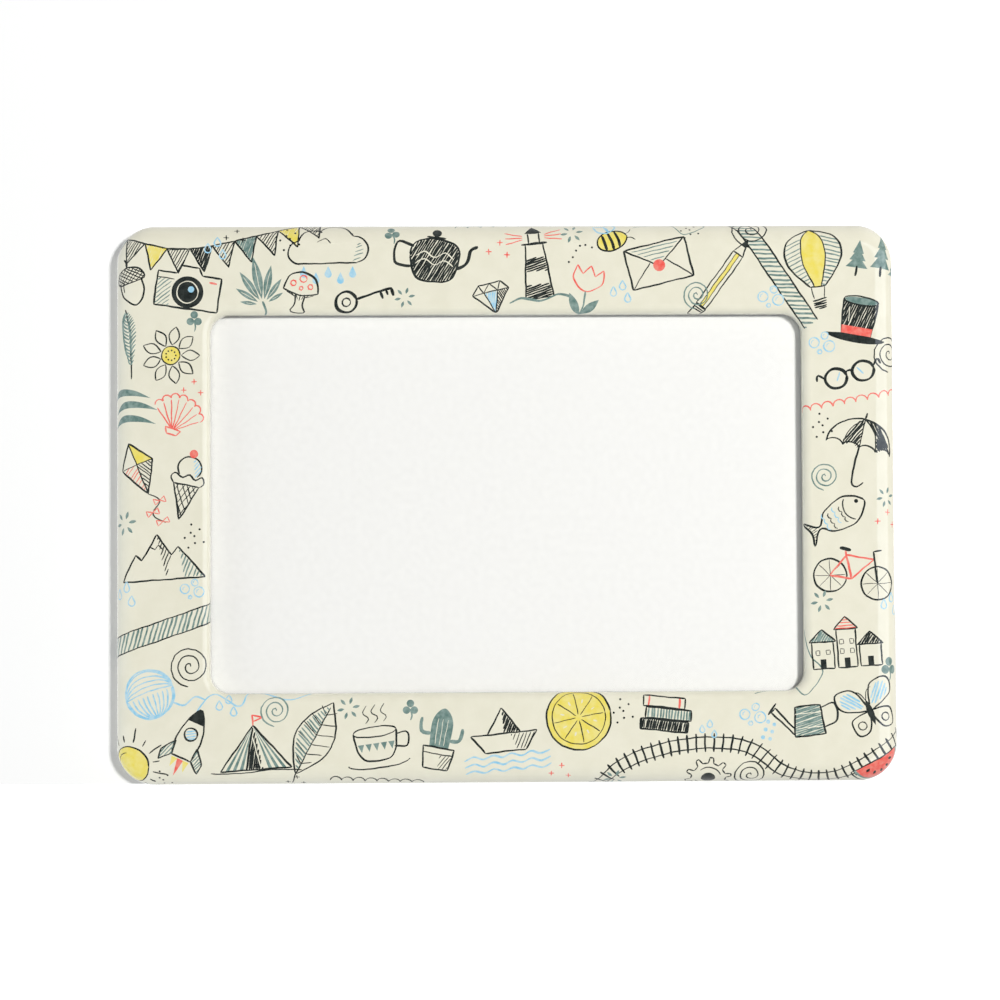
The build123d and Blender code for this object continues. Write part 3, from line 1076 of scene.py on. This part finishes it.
def printed_shell(materials):
    """The whole pressed sheet: printed outside, bare inside, closed round its cut edges."""
    window = grown(EYE_HALF, EYE_CORNER, -WINDOW_RUN)
    front, printed = triangles(prints, sheet_edge(), window)
    edges = border(printed)
    rim = sorted(rings(edges), key=lambda ring: max(front[c][0] for c in ring), reverse=True)
    back, bare = triangles([], [front[c] for c in rim[0]], [front[c] for c in reversed(rim[1])])

    def place_of(point):
        return tuple(round(c, MATCH_DIGITS) for c in point)

    nearest = {place_of(p): n for n, p in enumerate(back)}
    pressed = [press(*p) for p in front]
    lining = [press(*p) for p in back]
    points = [p for p, _ in pressed] + [p - n * TIN for p, n in lining]
    count = len(front)
    ink_slots = {ink: n for n, ink in enumerate(INKS)}
    polygons = []
    slots = []
    loops = []

    def lay(corners, slot, normals):
        polygons.append(corners)
        slots.append(slot)
        loops.extend(normals)

    for corners, ink in printed:
        lay(corners, ink_slots[ink], [pressed[c][1] for c in corners])
    for corners, _ in bare:
        corners.reverse()
        lay([c + count for c in corners], len(INKS), [-lining[c][1] for c in corners])
    for a, b in edges.items():
        behind = [count + nearest[place_of(front[c])] for c in (a, b)]
        across = (points[a] - points[b]).cross(points[behind[0]] - points[a]).normalized()
        lay([b, a, *behind], len(INKS), [across] * 4)
    mesh = bpy.data.meshes.new("printed_shell")
    mesh.from_pydata([p * MM for p in points], [], polygons)
    for material in materials:
        mesh.materials.append(material)
    mesh.polygons.foreach_set("material_index", slots)
    mesh.polygons.foreach_set("use_smooth", [True] * len(polygons))
    mesh.normals_split_custom_set(loops)
    return mesh


def new_object(name, data):
    thing = bpy.data.objects.new(name, data)
    bpy.context.scene.collection.objects.link(thing)
    return thing


# Shader helpers
def dress(tree, node, **inputs):
    """Gives inputs a value or another node's output. An underscore stands for the space in a name."""
    for name, value in inputs.items():
        socket = node.inputs[name.replace("_", " ")]
        if isinstance(value, bpy.types.NodeSocket):
            tree.links.new(value, socket)
        else:
            socket.default_value = value
    return node


def add(tree, kind, **inputs):
    return dress(tree, tree.nodes.new("ShaderNode" + kind), **inputs)


def new_material(name, **inputs):
    material = bpy.data.materials.new(name)
    material.use_nodes = True
    tree = material.node_tree
    return material, tree, dress(tree, tree.nodes["Principled BSDF"], **inputs)


def noise(tree, scale, detail, stretch=None):
    """Noise in object space, so that the grain sits on the piece."""
    source = add(tree, "TexCoord").outputs["Object"]
    if stretch:
        source = add(tree, "Mapping", Vector=source, Scale=stretch).outputs["Vector"]
    return add(tree, "TexNoise", Vector=source, Scale=scale, Detail=detail).outputs["Fac"]


def ramp(tree, source, low, high):
    """Blends from one colour to another over the middle of a noise value."""
    node = add(tree, "ValToRGB", Fac=source)
    for element, place, colour in zip(node.color_ramp.elements, RAMP_ENDS, (low, high)):
        element.position = place
        element.color = colour
    return node.outputs["Color"]


def level(tree, source, low, high):
    """Maps a value from 0 to 1 to a range."""
    return add(tree, "MapRange", Value=source, To_Min=low, To_Max=high).outputs["Result"]


def bump(tree, source, strength, distance):
    return add(tree, "Bump", Height=source, Strength=strength, Distance=distance).outputs["Normal"]


def finish(name, tones, grain, rough, rough_grain, relief, relief_grain, **constants):
    """Material whose colour, roughness and relief follow grains, each a noise's scale, detail and stretch."""
    material, tree, shader = new_material(name, **constants)
    dress(tree, shader, Base_Color=ramp(tree, noise(tree, *grain), *tones),
          Roughness=level(tree, noise(tree, *rough_grain), *rough),
          Normal=bump(tree, noise(tree, *relief_grain), *relief))
    return material


def cover(tree, factor, first, second):
    """Shows the first shader where the factor is 0 and the second where it is 1."""
    mix = add(tree, "MixShader", Fac=factor)
    tree.links.new(first.outputs["BSDF"], mix.inputs[1])
    tree.links.new(second.outputs["BSDF"], mix.inputs[2])
    tree.links.new(mix.outputs["Shader"], tree.nodes["Material Output"].inputs["Surface"])


# Materials
RAMP_ENDS = (0.35, 0.65)
ROLLED = (90, 4, (1, 1, 22))
DRAWN = (900, 3, (0.02, 1, 1))
FIBRE = (700, 5)


def linear(red, green, blue):
    """Screen colour from 0 to 255 as the linear colour that a shader takes."""
    values = [c / 255 for c in (red, green, blue)]
    return (*[c / 12.92 if c <= 0.04045 else ((c + 0.055) / 1.055) ** 2.4 for c in values], 1)


def varnished(name, ink, paler, grain):
    """Printed ink under clear gloss varnish."""
    return finish(name, (linear(*paler), linear(*ink)), (grain, 4), (0.025, 0.05), (260, 2),
                  (0.04, 0.0002), (420, 2))


def tape():
    material, tree, shader = new_material("tape", Roughness=0.75)
    tone = ramp(tree, noise(tree, 900, 3), (0.70, 0.68, 0.60, 1), (0.80, 0.78, 0.71, 1))
    dress(tree, shader, Base_Color=tone)
    return material


def clear_sheet():
    """Thin clear plastic: lets the photo through and only mirrors where light enters it."""
    material, tree, shader = new_material("clear_sheet")
    tree.nodes.remove(shader)
    through = add(tree, "BsdfTransparent", Color=(0.996, 0.998, 0.998, 1))
    mirror = add(tree, "BsdfGlossy", Roughness=level(tree, noise(tree, 60, 4), 0.02, 0.06))
    entering = add(tree, "Math")
    entering.operation = "SUBTRACT"
    entering.use_clamp = True
    tree.links.new(add(tree, "Fresnel", IOR=1.4).outputs["Fac"], entering.inputs[0])
    tree.links.new(add(tree, "NewGeometry").outputs["Backfacing"], entering.inputs[1])
    cover(tree, entering.outputs["Value"], through, mirror)
    return material


def paint(node, material):
    """Gives a CAD node a material in place of its plain one."""
    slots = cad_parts[node].data.materials
    slots.clear()
    slots.append(material)


# Dressing the pieces
tin = finish("bare_tin", ((0.58, 0.58, 0.56, 1), (0.68, 0.68, 0.66, 1)), ROLLED,
             (0.34, 0.44), ROLLED, (0.05, 0.00003), ROLLED, Metallic=1)
plastic = finish("moulded_plastic", ((0.74, 0.74, 0.71, 1), (0.80, 0.80, 0.77, 1)), (18, 3),
                 (0.42, 0.58), (300, 3), (0.25, 0.00006), (2600, 2))
rubber = finish("magnet_rubber", ((0.026, 0.022, 0.020, 1), (0.038, 0.033, 0.029, 1)), (1500, 4),
                (0.46, 0.62), DRAWN, (0.12, 0.0001), DRAWN)
paper = finish("photo_paper", ((0.92, 0.92, 0.92, 1), (0.95, 0.95, 0.95, 1)), FIBRE,
               (0.45, 0.6), FIBRE, (0.05, 0.00004), FIBRE, Specular_IOR_Level=0.25)
draw_sheet()
shell_materials = [varnished(f"print_{name}", *look) for name, look in INKS.items()] + [tin]
shell = new_object("printed_shell", printed_shell(shell_materials))
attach(shell, "frame")
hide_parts("front_shell")
paint("window_sheet", clear_sheet())
paint("photo_card", paper)
paint("back_plate", plastic)
sticky = tape()
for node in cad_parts:
    if node.startswith("magnet_"):
        paint(node, rubber)
    if node.startswith("tape_"):
        paint(node, sticky)


# Stage: white floor under the lower edge, a white door behind the magnets and a white surround.
# Light levels are 1 for white, spans are in metres. The surround turns from one level to another where a
# direction's part along Y is between the two values of a TURN.
FILL = 0.26
BOUNCE = 0.65
DIM = 0.25
LIGHT_TURN = (-0.05, 0.05)
GLOSS_TURN = (-0.7, 0.3)
FRONT_GLOW = 0.55
BACK_GLOW = 0.30
DOOR_GLOW = 0.14
FLOOR_SPAN = 0.8
DOOR_SPAN = 0.6
DOOR_GAP = 0.0003
WHITE = (1, 1, 1, 1)
STAGE_WHITE = (0.94, 0.96, 0.99, 1)
WARM = (1, 0.98, 0.93)
COOL = (0.92, 0.97, 1)
SKY = (0.78, 0.86, 1)
MIDDLE = (0, 0, 0)
flagged = bpy.data.collections.new("flagged")


def stage_sheet(name, corners, glow):
    """White sheet that takes the frame's shadow. Only the camera sees it, so it shades nothing."""
    mesh = bpy.data.meshes.new(name)
    mesh.from_pydata(corners, [], [(0, 1, 2, 3)])
    sheet = new_object(name, mesh)
    for ray in ("diffuse", "glossy", "transmission", "shadow"):
        setattr(sheet, f"visible_{ray}", False)
    material, tree, shader = new_material(f"{name}_white", Base_Color=STAGE_WHITE, Roughness=1,
                                          Specular_IOR_Level=0, Emission_Color=WHITE)
    seen = add(tree, "LightPath").outputs["Is Camera Ray"]
    dress(tree, shader, Emission_Strength=level(tree, seen, 0, glow))
    mesh.materials.append(material)
    flagged.objects.link(sheet)
    return tree, shader


def white_floor():
    halves = (("floor_before", -FLOOR_SPAN, FRONT_GLOW), ("floor_behind", FLOOR_SPAN, BACK_GLOW))
    for name, far, glow in halves:
        plan = ((-far, 0), (far, 0), (far, far), (-far, far))
        stage_sheet(name, [(x, y, shell_low.z) for x, y in plan], glow)


def white_door():
    """Front of the door that the magnets hold to, clear from behind so that the frame's back shows."""
    face = box(-DOOR_SPAN, shell_low.z, DOOR_SPAN, DOOR_SPAN)
    tree, shader = stage_sheet("door", [(x, DOOR_GAP, z) for x, z in face], DOOR_GLOW)
    cover(tree, add(tree, "NewGeometry").outputs["Backfacing"], shader, add(tree, "BsdfTransparent"))


def front_to_back(tree, front, back, start, end):
    """Strength of the surround before the door and behind it, where the door's own white stands."""
    ahead = add(tree, "SeparateXYZ", Vector=add(tree, "TexCoord").outputs["Generated"])
    return add(tree, "MapRange", Value=ahead.outputs["Y"], From_Min=start, From_Max=end,
               To_Min=front, To_Max=back).outputs["Result"]


def white_world():
    """Soft light all round that the camera, glass and the gloss behind the frame see as white."""
    world = bpy.data.worlds.new("studio")
    bpy.context.scene.world = world
    world.use_nodes = True
    tree = world.node_tree
    rays = add(tree, "LightPath").outputs
    strength = front_to_back(tree, FILL, BOUNCE, *LIGHT_TURN)
    gloss = front_to_back(tree, DIM, 1, *GLOSS_TURN)
    for ray, seen in (("Is Camera Ray", 1), ("Is Transmission Ray", 1), ("Is Glossy Ray", gloss)):
        strength = add(tree, "Mix", Factor=rays[ray], A=strength, B=seen).outputs["Result"]
    dress(tree, tree.nodes["Background"], Color=WHITE, Strength=strength)


def point_at(thing, aim):
    """Turns a lamp or camera towards a point, upright."""
    thing.rotation_mode = "QUATERNION"
    thing.rotation_quaternion = (Vector(aim) - thing.location).to_track_quat("-Z", "Y")


def softbox(name, place, aim, size, watts, colour=(1, 1, 1), diffuse=True, glossy=True):
    data = bpy.data.lights.new(name, "AREA")
    data.shape = "RECTANGLE"
    data.size, data.size_y = size
    data.energy = watts
    data.color = colour
    lamp = new_object(name, data)
    lamp.location = place
    point_at(lamp, aim)
    lamp.visible_diffuse = diffuse
    lamp.visible_glossy = glossy
    lamp.visible_camera = False
    return lamp


def flag_off_stage(lamp):
    """Keeps a lamp's light off the floor and the door, as a studio flag does."""
    for sheet in flagged.collection_objects:
        sheet.light_linking.link_state = "EXCLUDE"
    lamp.light_linking.receiver_collection = flagged


white_floor()
white_door()
white_world()
softbox("key", (0.66, -1.30, 0.255), MIDDLE, (0.2, 0.2), 17.6, WARM, glossy=False)
fill = softbox("left_fill", (-0.92, -0.19, -0.48), MIDDLE, (0.6, 0.9), 6.0, COOL, glossy=False)
flag_off_stage(fill)
softbox("back_light", (0.65, 1.0, 0.2), MIDDLE, (0.5, 0.5), 3.2)
softbox("side_panel", (0.576, -0.60, 0), (-0.03, -0.138, 0), (1.0, 0.8), 7.0, SKY, diffuse=False)

# Camera at the photograph's place: almost square on, a little low and left of the middle
CAMERA_LENS = 85
CAMERA_SENSOR = 36
CAMERA_DISTANCE = 0.5627
CAMERA_AZIMUTH = radians(-1.10)
CAMERA_ELEVATION = radians(-1.69)
CAMERA_ROLL = radians(-0.268)
CAMERA_AIM = Vector((-0.00162, 0, 0.00089))

level_reach = cos(CAMERA_ELEVATION)
back = Vector((sin(CAMERA_AZIMUTH) * level_reach, -cos(CAMERA_AZIMUTH) * level_reach, sin(CAMERA_ELEVATION)))
camera = new_object("camera", bpy.data.cameras.new("camera"))
camera.data.lens = CAMERA_LENS
camera.data.sensor_width = CAMERA_SENSOR
camera.location = CAMERA_AIM + back * CAMERA_DISTANCE
point_at(camera, CAMERA_AIM)
camera.rotation_quaternion = camera.rotation_quaternion @ Quaternion((0, 0, 1), CAMERA_ROLL)
bpy.context.scene.camera = camera
bpy.context.scene.view_settings.view_transform = "Standard"
